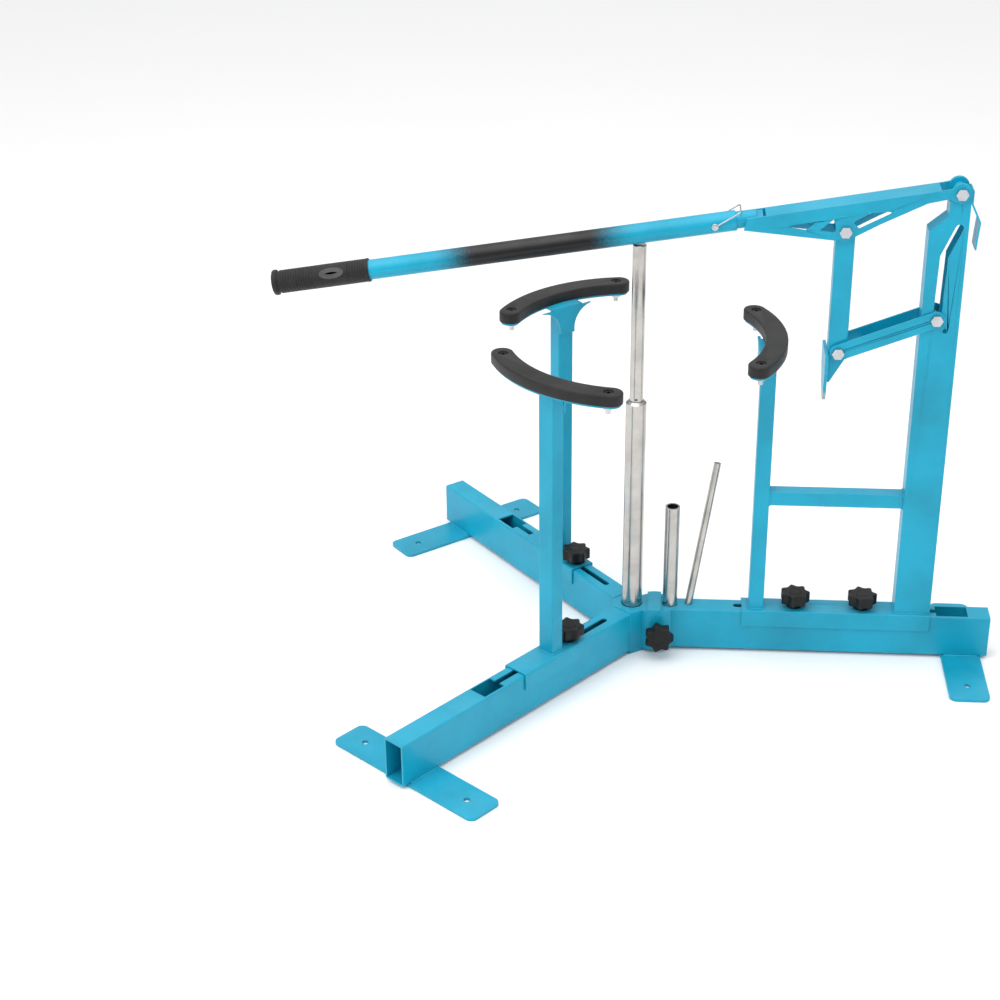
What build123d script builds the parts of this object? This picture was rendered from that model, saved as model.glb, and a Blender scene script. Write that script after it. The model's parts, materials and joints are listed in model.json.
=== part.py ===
from build123d import *
import os
from math import atan2, cos, degrees, hypot, radians, sin

os.makedirs("parts", exist_ok=True)

# The origin is on the floor under the post, X runs along the right leg and Z is up.
# Places along a leg are measured from the point where the three legs' centre lines cross.

# legs and feet
legs_cross_x = 5.0
left_leg_angle = 129.2
foot_thickness = 5.0
leg_width = 40.0
leg_height = 75.0
leg_wall = 3.0
leg_corner = 3.0
leg_top = foot_thickness + leg_height
right_leg_end = 600.0
front_leg_end = 573.6
back_leg_end = 557.7
opening_inset = 1.0
opening_width = leg_width - 2 * leg_wall - 2 * opening_inset
left_slot_start = 75.0
left_slot_end = 342.0
left_opening_end = 387.0
right_slot_start = 168.0
right_slot_end = 510.0
right_opening_end = 563.0
foot_length = 66.0
foot_spread = 312.0
foot_corner = 12.0
foot_inset = 10.8
foot_bolt_reach = 114.0
foot_bolt_hole = 5.5

# hub and post
hub_wall = 4.0
rod_radius = 11.0
rod_gap = 0.05
post_bore = rod_radius + rod_gap
post_wall = 5.95
post_radius = post_bore + post_wall
post_top = 462.0
post_chamfer = 4.0
post_rim_gap = 1.2
post_rim_radius = post_radius + post_rim_gap
socket_gap = 0.1
socket_wall = 3.9
socket_radius = post_radius + socket_gap + socket_wall
hub_room = 2.0
left_hub_room = 9.0
leg_to_hub = 2.0
hub_face_x = socket_radius + hub_wall + hub_room
left_leg_start = socket_radius + hub_wall + left_hub_room
right_leg_start = hub_face_x + leg_to_hub - legs_cross_x
rod_overlap = 100.0
rod_end_chamfer = 1.0
rod_hole_radius = 2.3
rod_hole_above_post = 5.0
set_screw_radius = 3.0
set_screw_below_top = 17.0
set_screw_gap = 0.1
set_screw_proud = 0.5
set_screw_hex_depth = 2.5
receiver_before_hub = 15.0
receiver_past_hub = 41.0
receiver_start = hub_face_x - receiver_before_hub
receiver_end = hub_face_x + receiver_past_hub
receiver_gap = 0.4
receiver_lip = 0.6
receiver_swell = 12.0
receiver_edge = leg_width / 2 + receiver_gap + receiver_lip
receiver_bulge = receiver_edge + receiver_swell
receiver_roof = 3.6
receiver_roof_past_hub = 23.0
receiver_roof_end = hub_face_x + receiver_roof_past_hub

# knobs, studs and nuts
stud_radius = 5.0
stud_clearance = 0.4
slot_clearance = 0.5
slot_width = 2 * (stud_radius + slot_clearance)
knob_radius = 25.0
knob_lobes = 7
lobe_radius = 7.5
knob_height = 20.0
collar_radius = 14.0
collar_height = 8.0
knob_lift = 0.6
stud_in_knob = 20.0
stud_below_seat = 25.0
stud_end_gap = 0.1
hub_knob_lift = 1.5
hub_knob_from_middle = 8.0
nut_side_gap = 2.0
nut_block = leg_width - 2 * leg_wall - 2 * nut_side_gap
nut_block_thickness = 9.0
nut_block_gap = 0.4

# sliding saddles
saddle_gap = 0.4
saddle_wall = 3.0
saddle_start = 150.0
saddle_end = 299.0
saddle_drop = 27.0
left_knob_at = 169.0
column_face = 438.0
column_depth = 60.0
column_back = column_face + column_depth
tower_saddle_start = 182.0
tower_saddle_end = column_back
tower_knobs_at = (272.0, 385.0)
saddle_top = leg_top + saddle_gap + saddle_wall

# uprights and pads
upright_along = 25.0
upright_across = 30.0
upright_wall = 2.0
left_upright_at = 214.0
right_upright_at = 206.0
pad_radius = 220.0
pad_width = 36.0
pad_thickness = 18.0
pad_half_angle = 31.0
pad_screw_angle = 29.7
pad_base = 562.0
pad_plate = 4.0
pad_plate_width = 30.0
left_pad_shift = 14.7
right_pad_shift = -3.4
gusset_thickness = 5.0
gusset_width = 100.0
gusset_height = 45.0
gusset_waist = 4.0
gusset_waist_share = 0.45
pad_tab_width = 60.0
screw_radius = 4.0
screw_clearance = 0.2
screw_head_radius = 6.5
screw_head_height = 8.0
screw_head_gap = 1.5
screw_recess_radius = screw_head_radius + screw_head_gap
screw_sunk = 1.5
screw_recess = screw_head_height + screw_sunk
screw_tail = 14.0
screw_nut = 6.5
screw_nut_flats = 13.0

# tower
column_wall = 3.0
column_half = 17.0
head_radius = 16.0
pivot_height = 827.0
pivot = (column_back - head_radius, pivot_height)
neck_face = column_back - 2 * head_radius
neck_below_pivot = 38.0
shoulder_below_pivot = 62.0
cross_bar_size = 25.0
cross_bar_height = 293.0
spare_hole_radius = 4.0
hook_thickness = 3.0
hook_bend = 6.0

# through bolts
bolt_radius = 5.0
bolt_clearance = 0.2
bolt_flats = 17.0
bolt_head = 6.4
nut_height = 8.0
bolt_tail = 3.0
washer_radius = 10.0
washer_gap = 0.1
sleeve_wall = 3.8
sleeve_radius = bolt_radius + bolt_clearance + sleeve_wall
guide_slot_play = 1.5
guide_slot_width = 2 * (bolt_radius + guide_slot_play)

# lever and handle
lever_slope = 9.12
link_gap = 1.0
link_wall = 3.0
lever_inner = column_half + link_gap
lever_outer = lever_inner + link_wall
link_top_from_pivot = (-171.0, -63.0)
link_run = (1.5, -203.0)
guide_pin_from_pivot = (-20.0, -206.6)
lug_radius = 17.0
lobe_at_pivot = 16.0
web_from_pivot = (-294.0, -30.0)
handle_radius = 16.0
handle_wall = 2.3
handle_bore = handle_radius - handle_wall
stub_gap = 0.2
stub_wall = 3.0
stub_radius = handle_bore - stub_gap
stub_bore = stub_radius - stub_wall
stub_root = 311.0
stub_end = 430.0
handle_start = 343.0
handle_end = 1081.0
grip_wall = 3.0
grip_radius = handle_radius + grip_wall
grip_cap = 5.0
grip_length = 159.0
grip_end = handle_end + grip_cap
grip_start = grip_end - grip_length
grip_flange = 1.5
grip_flange_radius = grip_radius + grip_flange
grip_flange_length = 6.0
rest_gap = 0.3
lock_at = 376.0
lock_radius = 3.0
lock_clearance = 0.2
lock_head_radius = 4.2
lock_head_length = 1.8
bail_wire = 1.25
bail_bar_radius = 1.5
bail_eye_half = 1.6
bail_eye_radius = 4.6
bail_play = 0.1
bail_side_gap = 4.0
bail_half_width = handle_radius + bail_side_gap
lock_half_length = bail_half_width + bail_eye_half + bail_play + lock_head_length
bail_back = 42.0
bail_over_handle = 2.2
bail_rise = handle_radius + bail_over_handle

# pusher, shoe and guide link
pusher_side_gap = 3.0
pusher_size = 2 * (lever_inner - pusher_side_gap)
pusher_wall = 3.0
pusher_past_pin = 1.0
pusher_below_pin = 13.0
pusher_above_pin = 15.0
blade_thickness = 5.0
blade_width = 70.0
blade_tip_width = 35.0
blade_reach = 76.0
blade_bend_below = 8.0
blade_foot_margin = 10.0
blade_tip_curve = 13.0
blade_shoulder = 20.0
blade_lap = 12.0
blade_lean = 1.5
rib_thickness = 4.0
guide_depth = 27.0
guide_web_from_pusher = 36.0
guide_web_from_tower = 38.0

# loose axle pieces kept in the right leg
spare_tube_at = 60.0
spare_tube_radius = 12.5
spare_tube_bore = 9.5
spare_tube_top = 268.0
spare_rod_at = (92.0, 3.0)
spare_rod_lean = (41.0, 40.0, 249.0)
spare_rod_radius = 6.25
spare_rod_above_leg = 256.0
seat_clearance = 0.6


def leg_frame(angle):
    along = (cos(radians(angle)), sin(radians(angle)), 0)
    return Plane(origin=(legs_cross_x, 0, 0), x_dir=along, z_dir=(0, 0, 1))


def level(frame, along=0.0, across=0.0, up=0.0):
    """Plane parallel to the floor, with its x axis along the leg."""
    spot = frame.from_local_coords((along, across, up))
    return Plane(origin=spot, x_dir=frame.x_dir, z_dir=(0, 0, 1))


def section(frame, along):
    """Plane square to the leg, with x across it and y up."""
    return Plane(origin=frame.from_local_coords((along, 0, 0)), x_dir=frame.y_dir, z_dir=frame.x_dir)


def profile(frame):
    """Upright plane through the leg's centre line, with x along it and y up."""
    return Plane(origin=frame.origin, x_dir=frame.x_dir, z_dir=-frame.y_dir)


def beside(spot, shift):
    """Place in the side plane, shifted from another by (along, up)."""
    return (spot[0] + shift[0], spot[1] + shift[1])


link_top = beside(pivot, link_top_from_pivot)
link_bottom = beside(link_top, link_run)
guide_pin = beside(pivot, guide_pin_from_pivot)
guide_slot_line = (beside(pivot, (-19.6, -214.0)), beside(pivot, (-17.1, -103.0)), beside(pivot, (2.0, -57.0)))
spare_hole = beside(pivot, (-5.0, -227.0))
shoulder_height = pivot_height - shoulder_below_pivot
neck_height = pivot_height - neck_below_pivot
pusher_centre = link_top[0] + pusher_past_pin
pusher_bottom = link_bottom[1] - pusher_below_pin
pusher_top = link_top[1] + pusher_above_pin
blade_tip_height = pusher_bottom - blade_reach

right_frame = leg_frame(0)
front_frame = leg_frame(-left_leg_angle)
back_frame = leg_frame(left_leg_angle)
side = profile(right_frame)


def save(part, name):
    part.label = name
    export_step(part, f"parts/{name}.step")


def rod_between(start, end, radius, mode=Mode.ADD):
    """Round bar between two points, in the part that is being built."""
    line = Vector(*end) - Vector(*start)
    with BuildSketch(Plane(origin=start, z_dir=line)) as disc:
        Circle(radius)
    extrude(disc.sketch, amount=line.length, mode=mode)


def cross_rod(spot, half_length, radius, mode=Mode.SUBTRACT):
    """Round bar square to the side plane, centred on it."""
    with BuildSketch(side) as disc:
        with Locations(spot):
            Circle(radius)
    extrude(disc.sketch, amount=half_length, both=True, mode=mode)


def outline(points, corner=0.0):
    """Closed outline with straight sides, in the sketch that is being drawn."""
    with BuildSketch(Plane.XY, mode=Mode.PRIVATE) as shape:
        with BuildLine():
            Polyline(*points, close=True)
        make_face()
        if corner:
            fillet(shape.vertices(), radius=corner)
    add(shape.sketch)


def box_tube(plane, length, width, height, wall, corner):
    """Rectangular tube drawn on a plane and drawn out along its normal."""
    with BuildPart() as tube:
        with BuildSketch(plane):
            RectangleRounded(width, height, corner)
            RectangleRounded(width - 2 * wall, height - 2 * wall, corner / 3, mode=Mode.SUBTRACT)
        extrude(amount=length)
    return tube.part


# ---- legs ----

def leg_tube(frame, start, end, slot, seats=()):
    """Leg with a narrow slot in its top that ends in a wide opening."""
    slot_start, slot_end, opening_end = slot
    with BuildPart() as tube:
        with BuildSketch(section(frame, start)):
            with Locations((0, foot_thickness + leg_height / 2)):
                RectangleRounded(leg_width, leg_height, leg_corner)
                RectangleRounded(leg_width - 2 * leg_wall, leg_height - 2 * leg_wall,
                                 leg_corner / 3, mode=Mode.SUBTRACT)
        extrude(amount=end - start)
        with BuildSketch(level(frame, up=leg_top)):
            with Locations(((slot_start + opening_end) / 2, 0)):
                SlotOverall(opening_end - slot_start, slot_width)
            with Locations(((slot_end + opening_end) / 2, 0)):
                Rectangle(opening_end - slot_end, opening_width)
        extrude(amount=-leg_wall, mode=Mode.SUBTRACT)
        for seat_start, seat_end, radius in seats:
            rod_between(seat_start, seat_end, radius, Mode.SUBTRACT)
    return tube.part


def foot_plate(frame, leg_end):
    centre = leg_end - foot_inset - foot_length / 2
    with BuildPart() as plate:
        with BuildSketch(level(frame, along=centre)):
            RectangleRounded(foot_length, foot_spread, foot_corner)
            with Locations((0, -foot_bolt_reach), (0, foot_bolt_reach)):
                Circle(foot_bolt_hole, mode=Mode.SUBTRACT)
        extrude(amount=foot_thickness)
    return plate.part


spare_line = Vector(*spare_rod_lean).normalized()
spare_rod_mid = right_frame.from_local_coords((*spare_rod_at, leg_top))
spare_tube_mid = right_frame.from_local_coords((spare_tube_at, 0, leg_top))
seat_reach = 3 * leg_wall
tube_seat = (spare_tube_mid - Vector(0, 0, seat_reach), spare_tube_mid + Vector(0, 0, seat_reach),
             spare_tube_radius + seat_clearance)
rod_seat = (spare_rod_mid - spare_line * seat_reach, spare_rod_mid + spare_line * seat_reach,
            spare_rod_radius + seat_clearance)

left_slot = (left_slot_start, left_slot_end, left_opening_end)
right_slot = (right_slot_start, right_slot_end, right_opening_end)
save(leg_tube(right_frame, right_leg_start, right_leg_end, right_slot, (tube_seat, rod_seat)), "right_leg")
save(leg_tube(front_frame, left_leg_start, front_leg_end, left_slot), "front_leg")
save(leg_tube(back_frame, left_leg_start, back_leg_end, left_slot), "back_leg")
save(foot_plate(right_frame, right_leg_end), "right_foot_plate")
save(foot_plate(front_frame, front_leg_end), "front_foot_plate")
save(foot_plate(back_frame, back_leg_end), "back_foot_plate")


# ---- hub and post ----

def leg_corner_point(frame, across):
    spot = frame.from_local_coords((left_leg_start, across, 0))
    return (spot.X, spot.Y)


half_leg = leg_width / 2
hub_outline = (
    (hub_face_x, -half_leg),
    leg_corner_point(front_frame, half_leg),
    leg_corner_point(front_frame, -half_leg),
    leg_corner_point(back_frame, half_leg),
    leg_corner_point(back_frame, -half_leg),
    (hub_face_x, half_leg),
)

with BuildPart() as hub_core:
    with BuildSketch(Plane.XY.offset(foot_thickness)):
        outline(hub_outline)
    extrude(amount=leg_height)
    with BuildSketch(Plane.XY.offset(foot_thickness)):
        outline(hub_outline)
        offset(amount=-hub_wall, kind=Kind.INTERSECTION, mode=Mode.REPLACE)
    extrude(amount=leg_height - hub_wall, mode=Mode.SUBTRACT)
    with BuildSketch(Plane.XY.offset(leg_top)):
        Circle(post_rim_radius)
    extrude(amount=-hub_wall, mode=Mode.SUBTRACT)
save(hub_core.part, "hub_core")

with BuildPart() as hub_base_plate:
    with BuildSketch():
        outline(hub_outline)
    extrude(amount=foot_thickness)
save(hub_base_plate.part, "hub_base_plate")

with BuildPart() as post_socket:
    with BuildSketch(Plane.XY.offset(foot_thickness)):
        Circle(socket_radius)
        Circle(post_radius + socket_gap, mode=Mode.SUBTRACT)
    extrude(amount=leg_height - hub_wall)
save(post_socket.part, "post_socket")

hub_knob_x = (receiver_start + receiver_end) / 2 + hub_knob_from_middle
hub_knob_z = foot_thickness + leg_height / 2

with BuildPart() as leg_receiver:
    with BuildSketch(Plane.XY.offset(foot_thickness)):
        with BuildLine():
            middle = (receiver_start + receiver_end) / 2
            front_arc = ThreePointArc((receiver_start, -receiver_edge), (middle, -receiver_bulge),
                                      (receiver_end, -receiver_edge))
            back_arc = ThreePointArc((receiver_end, receiver_edge), (middle, receiver_bulge),
                                     (receiver_start, receiver_edge))
            Line(front_arc @ 1, back_arc @ 0)
            Line(back_arc @ 1, front_arc @ 0)
        make_face()
    extrude(amount=leg_height + receiver_gap + receiver_roof)
    with BuildSketch(Plane.XY.offset(foot_thickness)):
        with Locations(((receiver_start + receiver_end) / 2, 0)):
            Rectangle(2 * (receiver_end - receiver_start), leg_width + 2 * receiver_gap)
    extrude(amount=leg_height + receiver_gap, mode=Mode.SUBTRACT)
    with BuildSketch(Plane.XY.offset(foot_thickness)):
        outline(hub_outline)
    extrude(amount=2 * leg_height, mode=Mode.SUBTRACT)
    with BuildSketch(Plane.XY.offset(leg_top)):
        with Locations((receiver_roof_end, 0)):
            Rectangle(receiver_end, 3 * receiver_bulge, align=(Align.MIN, Align.CENTER))
        with Locations((hub_face_x, 0)):
            Rectangle(receiver_end, 3 * receiver_bulge, align=(Align.MAX, Align.CENTER))
    extrude(amount=leg_height, mode=Mode.SUBTRACT)
    rod_between((hub_knob_x, -2 * receiver_bulge, hub_knob_z), (hub_knob_x, 0, hub_knob_z),
                stud_radius + stud_clearance, Mode.SUBTRACT)
save(leg_receiver.part, "leg_receiver")

set_screw_z = post_top - set_screw_below_top
with BuildPart() as post_tube:
    with BuildSketch(Plane.XY.offset(foot_thickness)):
        Circle(post_radius)
    extrude(amount=post_top - foot_thickness)
    chamfer(post_tube.faces().sort_by(Axis.Z)[-1].edges(), length=post_chamfer)
    with BuildSketch(Plane.XY.offset(foot_thickness)):
        Circle(post_bore)
    extrude(amount=post_top, mode=Mode.SUBTRACT)
    rod_between((0, 0, set_screw_z), (0, 2 * post_radius, set_screw_z), set_screw_radius, Mode.SUBTRACT)
save(post_tube.part, "post_tube")

with BuildPart() as post_set_screw:
    screw_out = post_radius + set_screw_proud
    rod_between((0, post_bore + set_screw_gap, set_screw_z), (0, screw_out, set_screw_z), set_screw_radius)
    with BuildSketch(Plane(origin=(0, screw_out, set_screw_z), z_dir=(0, 1, 0))):
        RegularPolygon(set_screw_radius / 2, 6)
    extrude(amount=-set_screw_hex_depth, mode=Mode.SUBTRACT)
save(post_set_screw.part, "post_set_screw")


def lever_axis_height(x):
    """Height of the handle's centre line at a place across the post, in the model's own X."""
    run = pivot[0] + legs_cross_x - x
    return pivot[1] - run * sin(radians(lever_slope)) / cos(radians(lever_slope))


rod_top = lever_axis_height(-rod_radius) - handle_radius / cos(radians(lever_slope)) - rest_gap
rod_bottom = post_top - rod_overlap
with BuildPart() as post_rod:
    with BuildSketch(Plane.XY.offset(rod_bottom)):
        Circle(rod_radius)
    extrude(amount=rod_top - rod_bottom)
    chamfer(post_rod.edges().filter_by(GeomType.CIRCLE), length=rod_end_chamfer)
    pin_z = post_top + rod_hole_above_post
    rod_between((0, -2 * rod_radius, pin_z), (0, 2 * rod_radius, pin_z), rod_hole_radius, Mode.SUBTRACT)
save(post_rod.part, "post_rod")

leg_floor = foot_thickness + leg_wall
with BuildPart() as spare_axle_tube:
    with BuildSketch(level(right_frame, along=spare_tube_at, up=leg_floor)):
        Circle(spare_tube_radius)
        Circle(spare_tube_bore, mode=Mode.SUBTRACT)
    extrude(amount=spare_tube_top - leg_floor)
save(spare_axle_tube.part, "spare_axle_tube")

lean = hypot(spare_rod_lean[0], spare_rod_lean[1]) / Vector(*spare_rod_lean).length
foot_rise = spare_rod_radius * lean + 0.2
below_leg_top = (leg_top - leg_floor - foot_rise) / spare_line.Z
with BuildPart() as spare_axle_rod:
    rod_between(spare_rod_mid - spare_line * below_leg_top,
                spare_rod_mid + spare_line * spare_rod_above_leg, spare_rod_radius)
save(spare_axle_rod.part, "spare_axle_rod")


# ---- knobs ----

def star_knob(seat):
    """Lobed knob on a collar, standing on its seat plane."""
    with BuildPart() as knob:
        with BuildSketch(seat):
            Circle(collar_radius)
        extrude(amount=collar_height)
        with BuildSketch(seat.offset(collar_height)):
            Circle(knob_radius - lobe_radius)
            with PolarLocations(knob_radius - lobe_radius, knob_lobes):
                Circle(lobe_radius)
        extrude(amount=knob_height)
        with BuildSketch(seat):
            Circle(stud_radius)
        extrude(amount=stud_in_knob, mode=Mode.SUBTRACT)
    return knob.part


def knob_stud(seat, reach):
    """Threaded stud moulded into a knob, drawn plain."""
    with BuildPart() as stud:
        with BuildSketch(seat.offset(-reach)):
            Circle(stud_radius)
        extrude(amount=reach + stud_in_knob)
    return stud.part


def nut_blocks(frame, spots):
    """Flat nuts inside a leg, under its slot."""
    top = leg_top - leg_wall - nut_block_gap
    with BuildPart() as nuts:
        for along in spots:
            with BuildSketch(level(frame, along=along, up=top)):
                RectangleRounded(nut_block, nut_block, 2)
                Circle(stud_radius + stud_clearance / 2, mode=Mode.SUBTRACT)
            extrude(amount=-nut_block_thickness)
    return nuts.part


hub_seat_y = -receiver_bulge - hub_knob_lift
hub_seat = Plane(origin=(hub_knob_x, hub_seat_y, hub_knob_z), x_dir=(1, 0, 0), z_dir=(0, -1, 0))
hub_reach = receiver_bulge + hub_knob_lift - half_leg - stud_end_gap
save(star_knob(hub_seat), "hub_knob")
save(knob_stud(hub_seat, hub_reach), "hub_knob_stud")


# ---- sliding saddles, uprights and pads ----

def saddle(frame, start, end, studs):
    """Upside-down channel over a leg, with a hole for each knob's stud."""
    inner = leg_width + 2 * saddle_gap
    ceiling = leg_top + saddle_gap
    bottom = leg_top - saddle_drop
    with BuildPart() as cap:
        with BuildSketch(section(frame, start)) as ring:
            with Locations((0, bottom)):
                Rectangle(inner + 2 * saddle_wall, saddle_top - bottom, align=(Align.CENTER, Align.MIN))
            fillet(ring.vertices().group_by(Axis.Y)[-1], radius=saddle_wall)
            with Locations((0, bottom)):
                Rectangle(inner, ceiling - bottom, align=(Align.CENTER, Align.MIN), mode=Mode.SUBTRACT)
        extrude(amount=end - start)
        with BuildSketch(level(frame, up=saddle_top)):
            with Locations(*[(along, 0) for along in studs]):
                Circle(stud_radius + stud_clearance)
        extrude(amount=-saddle_wall, mode=Mode.SUBTRACT)
    return cap.part


def arc_band(radius, width, half_angle):
    """Round-ended band along an arc about the sketch's origin."""
    turn = radians(half_angle)
    outer = radius + width / 2
    inner = radius - width / 2
    tip = (radius * cos(turn) - width / 2 * sin(turn), radius * sin(turn) + width / 2 * cos(turn))
    with BuildSketch(Plane.XY, mode=Mode.PRIVATE) as band:
        with BuildLine():
            outside = ThreePointArc((outer * cos(turn), -outer * sin(turn)), (outer, 0),
                                    (outer * cos(turn), outer * sin(turn)))
            inside = ThreePointArc((inner * cos(turn), inner * sin(turn)), (inner, 0),
                                   (inner * cos(turn), -inner * sin(turn)))
            ThreePointArc(outside @ 1, tip, inside @ 0)
            ThreePointArc(inside @ 1, (tip[0], -tip[1]), outside @ 0)
        make_face()
    add(band.sketch)


def pad_bracket(frame, shift, upright_at):
    """Arc plate under a pad, with its tab and the flared gusset on the upright's inner face."""
    plate_bottom = pad_base - pad_plate
    inner_face = upright_at - upright_along / 2
    tab_end = shift + pad_radius
    with BuildPart() as bracket:
        with BuildSketch(level(frame, along=shift, up=plate_bottom)):
            arc_band(pad_radius, pad_plate_width, pad_half_angle)
        extrude(amount=pad_plate)
        with BuildSketch(level(frame, up=plate_bottom)):
            with Locations((inner_face - gusset_thickness, 0)):
                Rectangle(tab_end - inner_face + gusset_thickness, pad_tab_width,
                          align=(Align.MIN, Align.CENTER))
        extrude(amount=pad_plate)
        half_top = gusset_width / 2
        half_foot = upright_across / 2
        low = plate_bottom - gusset_height
        waist = (half_foot + gusset_waist, plate_bottom - gusset_height * gusset_waist_share)
        with BuildSketch(section(frame, inner_face - gusset_thickness)):
            with BuildLine():
                left_flare = ThreePointArc((-half_foot, low), (-waist[0], waist[1]), (-half_top, plate_bottom))
                right_flare = ThreePointArc((half_top, plate_bottom), waist, (half_foot, low))
                Line(left_flare @ 1, right_flare @ 0)
                Line(right_flare @ 1, left_flare @ 0)
            make_face()
        extrude(amount=gusset_thickness)
        with BuildSketch(level(frame, along=shift, up=plate_bottom)):
            with PolarLocations(pad_radius, 2, start_angle=-pad_screw_angle,
                                angular_range=4 * pad_screw_angle):
                Circle(screw_radius + screw_clearance)
        extrude(amount=pad_plate, mode=Mode.SUBTRACT)
    return bracket.part


def pad(frame, shift):
    """Arc pad that the wheel's rim lies on, with sunk screw holes at its ends."""
    with BuildPart() as block:
        with BuildSketch(level(frame, along=shift, up=pad_base)):
            arc_band(pad_radius, pad_width, pad_half_angle)
        extrude(amount=pad_thickness)
        with BuildSketch(level(frame, along=shift, up=pad_base)):
            with PolarLocations(pad_radius, 2, start_angle=-pad_screw_angle,
                                angular_range=4 * pad_screw_angle):
                Circle(screw_radius + screw_clearance)
        extrude(amount=pad_thickness, mode=Mode.SUBTRACT)
        with BuildSketch(level(frame, along=shift, up=pad_base + pad_thickness)):
            with PolarLocations(pad_radius, 2, start_angle=-pad_screw_angle,
                                angular_range=4 * pad_screw_angle):
                Circle(screw_recess_radius)
        extrude(amount=-screw_recess, mode=Mode.SUBTRACT)
    return block.part


def pad_screws(frame, shift):
    """Cap screw and hexagon nut at each end of a pad."""
    seat = pad_base + pad_thickness - screw_recess
    plate_bottom = pad_base - pad_plate
    ends = {"start_angle": -pad_screw_angle, "angular_range": 4 * pad_screw_angle}
    with BuildPart() as screws:
        with BuildSketch(level(frame, along=shift, up=seat)):
            with PolarLocations(pad_radius, 2, **ends):
                Circle(screw_head_radius)
        extrude(amount=screw_head_height)
        with BuildSketch(level(frame, along=shift, up=plate_bottom - screw_tail)):
            with PolarLocations(pad_radius, 2, **ends):
                Circle(screw_radius)
        extrude(amount=seat - plate_bottom + screw_tail)
        with BuildSketch(level(frame, along=shift, up=seat + screw_head_height)):
            with PolarLocations(pad_radius, 2, **ends):
                RegularPolygon(screw_radius * 0.75, 6)
        extrude(amount=-screw_head_height / 2, mode=Mode.SUBTRACT)
    with BuildPart() as nuts:
        with BuildSketch(level(frame, along=shift, up=plate_bottom)):
            with PolarLocations(pad_radius, 2, **ends):
                RegularPolygon(screw_nut_flats / 2, 6, major_radius=False)
                Circle(screw_radius, mode=Mode.SUBTRACT)
        extrude(amount=-screw_nut)
    return Compound(children=[*screws.part.solids(), *nuts.part.solids()])


left_seat_height = saddle_top + knob_lift
for name, frame in (("front", front_frame), ("back", back_frame)):
    save(saddle(frame, saddle_start, saddle_end, (left_knob_at,)), f"{name}_saddle")
    post_foot = level(frame, along=left_upright_at, up=saddle_top)
    post_height = pad_base - pad_plate - saddle_top
    save(box_tube(post_foot, post_height, upright_along, upright_across, upright_wall, 2), f"{name}_upright")
    save(pad_bracket(frame, left_pad_shift, left_upright_at), f"{name}_pad_bracket")
    save(pad(frame, left_pad_shift), f"{name}_pad")
    save(pad_screws(frame, left_pad_shift), f"{name}_pad_screws")
    save(nut_blocks(frame, (left_knob_at,)), f"{name}_slot_nut")
    seat = level(frame, along=left_knob_at, up=left_seat_height)
    save(star_knob(seat), f"{name}_knob")
    save(knob_stud(seat, stud_below_seat), f"{name}_knob_stud")


# ---- tower ----

save(saddle(right_frame, tower_saddle_start, tower_saddle_end, tower_knobs_at), "tower_saddle")
save(nut_blocks(right_frame, tower_knobs_at), "tower_slot_nuts")
for name, along in zip(("tower_inner", "tower_outer"), tower_knobs_at):
    seat = level(right_frame, along=along, up=left_seat_height)
    save(star_knob(seat), f"{name}_knob")
    save(knob_stud(seat, stud_below_seat), f"{name}_knob_stud")

right_foot = level(right_frame, along=right_upright_at, up=saddle_top)
save(box_tube(right_foot, pad_base - pad_plate - saddle_top, upright_along, upright_across,
              upright_wall, 2), "right_upright")
save(pad_bracket(right_frame, right_pad_shift, right_upright_at), "right_pad_bracket")
save(pad(right_frame, right_pad_shift), "right_pad")
save(pad_screws(right_frame, right_pad_shift), "right_pad_screws")

bar_start = right_upright_at + upright_along / 2
bar_plane = section(right_frame, bar_start)
bar_plane.origin = bar_plane.origin + Vector(0, 0, cross_bar_height)
save(box_tube(bar_plane, column_face - bar_start, cross_bar_size, cross_bar_size, upright_wall, 2), "cross_bar")

shoulder_rise = (neck_height - shoulder_height) / (neck_face - column_face)
shoulder_drop = column_wall * hypot(1, shoulder_rise)
inner_shoulder = shoulder_height - shoulder_drop + column_wall * shoulder_rise
inner_neck = neck_height - shoulder_drop + column_wall * shoulder_rise
beyond = column_back + 3 * head_radius
above = pivot[1] + 3 * head_radius
head_foot = pivot[1] - head_radius

with BuildPart() as tower_column:
    with BuildSketch(side):
        outline(((column_face, saddle_top), (column_back, saddle_top), (column_back, pivot[1]),
                 (neck_face, pivot[1]), (neck_face, neck_height), (column_face, shoulder_height)))
        with Locations(pivot):
            Circle(head_radius)
    extrude(amount=column_half, both=True)
    with BuildSketch(side):
        outline(((column_face + column_wall, 0), (beyond, 0), (beyond, above), (column_face, above),
                 (column_face, head_foot), (neck_face + column_wall, head_foot),
                 (neck_face + column_wall, inner_neck), (column_face + column_wall, inner_shoulder)))
    extrude(amount=column_half - column_wall, both=True, mode=Mode.SUBTRACT)
    with BuildSketch(side):
        for first, last in zip(guide_slot_line, guide_slot_line[1:]):
            run = (last[0] - first[0], last[1] - first[1])
            with Locations(((first[0] + last[0]) / 2, (first[1] + last[1]) / 2)):
                SlotCenterToCenter(hypot(*run), guide_slot_width, rotation=degrees(atan2(run[1], run[0])))
        with Locations(spare_hole):
            Circle(spare_hole_radius)
    extrude(amount=column_half, both=True, mode=Mode.SUBTRACT)
    cross_rod(pivot, column_half, bolt_radius + bolt_clearance)
save(tower_column.part, "tower_column")

with BuildPart() as pivot_sleeve:
    with BuildSketch(side):
        with Locations(pivot):
            Circle(sleeve_radius)
            Circle(bolt_radius + bolt_clearance, mode=Mode.SUBTRACT)
    extrude(amount=column_half - column_wall, both=True)
save(pivot_sleeve.part, "pivot_sleeve")

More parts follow.
